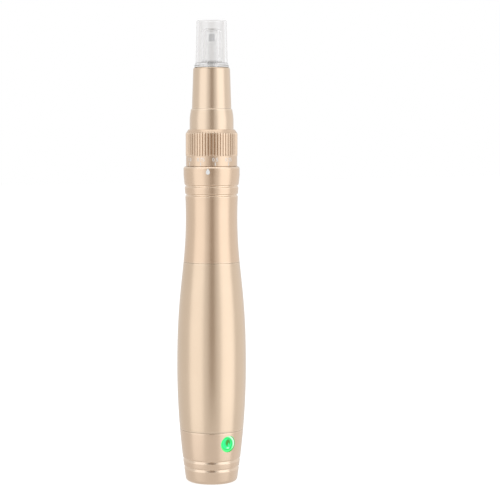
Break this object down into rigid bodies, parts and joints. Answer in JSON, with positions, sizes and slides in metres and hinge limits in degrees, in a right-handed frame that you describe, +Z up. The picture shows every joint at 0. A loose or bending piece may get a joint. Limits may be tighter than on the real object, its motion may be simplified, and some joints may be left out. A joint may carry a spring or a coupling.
{
  "type": "microneedling pen",
  "caption": "Upright champagne-gold metal pen that drives a clear needle cartridge up and down, with a fluted depth ring, a lit power button and a charging inlet in its base.",
  "frame": {"origin": "centre of the base, on the pen's axis, in the plane that it stands on", "axes": "+Z up the pen's axis towards the needles, -Y the way that the power button faces"},
  "size_m": [0.0246, 0.0246, 0.1642],
  "materials": {
    "champagne_aluminium": "satin anodised",
    "stainless_steel": "ground",
    "brass": "turned",
    "copper_winding": "enamelled wire",
    "clear_plastic": "clear polished",
    "white_plastic": "moulded",
    "black_nylon": "moulded",
    "silicone": "matte",
    "lit_button": "translucent, lit from behind",
    "board_laminate": "solder mask",
    "cell_wrap": "shrink wrap",
    "red_insulation": "extruded",
    "black_insulation": "extruded"
  },
  "bodies": {
    "root": {"tail_housing": "champagne_aluminium", "main_barrel": "champagne_aluminium", "front_barrel": "champagne_aluminium", "ring_retainer": "stainless_steel", "ring_drag_o_ring": "silicone", "drive_housing": "black_nylon", "motor_grub_screw": "stainless_steel", "rod_bush": "brass", "drive_lock_ring": "brass", "motor_can": "stainless_steel", "motor_end_cap": "black_nylon", "battery_cell": "cell_wrap", "cell_tab_positive": "stainless_steel", "cell_tab_negative": "stainless_steel", "cell_cap": "white_plastic", "cell_chassis": "white_plastic", "control_board": "board_laminate", "tact_switch": "black_nylon", "status_led": "clear_plastic", "motor_driver_chip": "black_nylon", "charge_jack": "black_nylon", "charge_jack_pin": "brass", "motor_lead_red": "red_insulation", "motor_lead_black": "black_insulation", "cell_lead_red": "red_insulation", "cell_lead_black": "black_insulation"},
    "depth_ring": {"depth_ring": "champagne_aluminium"},
    "nose": {"nose_base": "champagne_aluminium", "nose_cone": "champagne_aluminium", "nose_key_pin_right": "stainless_steel", "nose_key_pin_left": "stainless_steel"},
    "cartridge": {"cartridge_tip": "clear_plastic", "cartridge_inner_sleeve": "clear_plastic", "cartridge_stem": "clear_plastic", "cartridge_seal": "silicone", "cartridge_spring": "stainless_steel"},
    "needle_carriage": {"plunger_rod": "white_plastic", "needle_carrier": "white_plastic", "needle_01": "stainless_steel", "needle_02": "stainless_steel", "needle_03": "stainless_steel", "needle_04": "stainless_steel", "needle_05": "stainless_steel", "needle_06": "stainless_steel", "needle_07": "stainless_steel", "needle_08": "stainless_steel", "needle_09": "stainless_steel"},
    "drive_rod": {"drive_rod": "stainless_steel", "follower_block": "black_nylon", "follower_pin": "stainless_steel"},
    "rotor": {"motor_shaft": "stainless_steel", "face_cam": "brass", "motor_armature": "copper_winding"},
    "power_button": {"button_cap": "lit_button", "switch_plunger": "white_plastic"}
  },
  "joints": [
    {"name": "depth_ring_turn", "type": "hinge", "parent": "root", "child": "depth_ring", "pos_m": [0, 0, 0.1195], "axis": [0, 0, 1], "range_deg": [-49.6, 247.6]},
    {"name": "nose_slide", "type": "slide", "parent": "root", "child": "nose", "axis": [0, 0, 1], "range_m": [-0.00187, 0.00038], "deforming": ["cartridge_spring"]},
    {"name": "cartridge_draw", "type": "slide", "parent": "nose", "child": "cartridge", "axis": [0, 0, 1], "range_m": [0, 0.032]},
    {"name": "needle_stroke", "type": "slide", "parent": "root", "child": "drive_rod", "axis": [0, 0, 1], "range_m": [0, 0.00483], "stiffness_N_per_m": 150, "springref_m": -0.001, "deforming": ["cartridge_spring"]},
    {"name": "carriage_draw", "type": "slide", "parent": "drive_rod", "child": "needle_carriage", "axis": [0, 0, 1], "range_m": [0, 0.032]},
    {"name": "rotor_spin", "type": "hinge", "parent": "root", "child": "rotor", "pos_m": [0, 0, 0.0955], "axis": [0, 0, 1], "continuous": true},
    {"name": "button_press", "type": "slide", "parent": "root", "child": "power_button", "axis": [0, 1, 0], "range_m": [0, 0.0005], "stiffness_N_per_m": 2000, "springref_m": -0.0002}
  ],
  "couplings": [
    {"joint": "depth_ring_turn", "follows": "nose_slide", "rad_per_m": -2303.8},
    {"joint": "carriage_draw", "follows": "cartridge_draw", "ratio": 1}
  ]
}
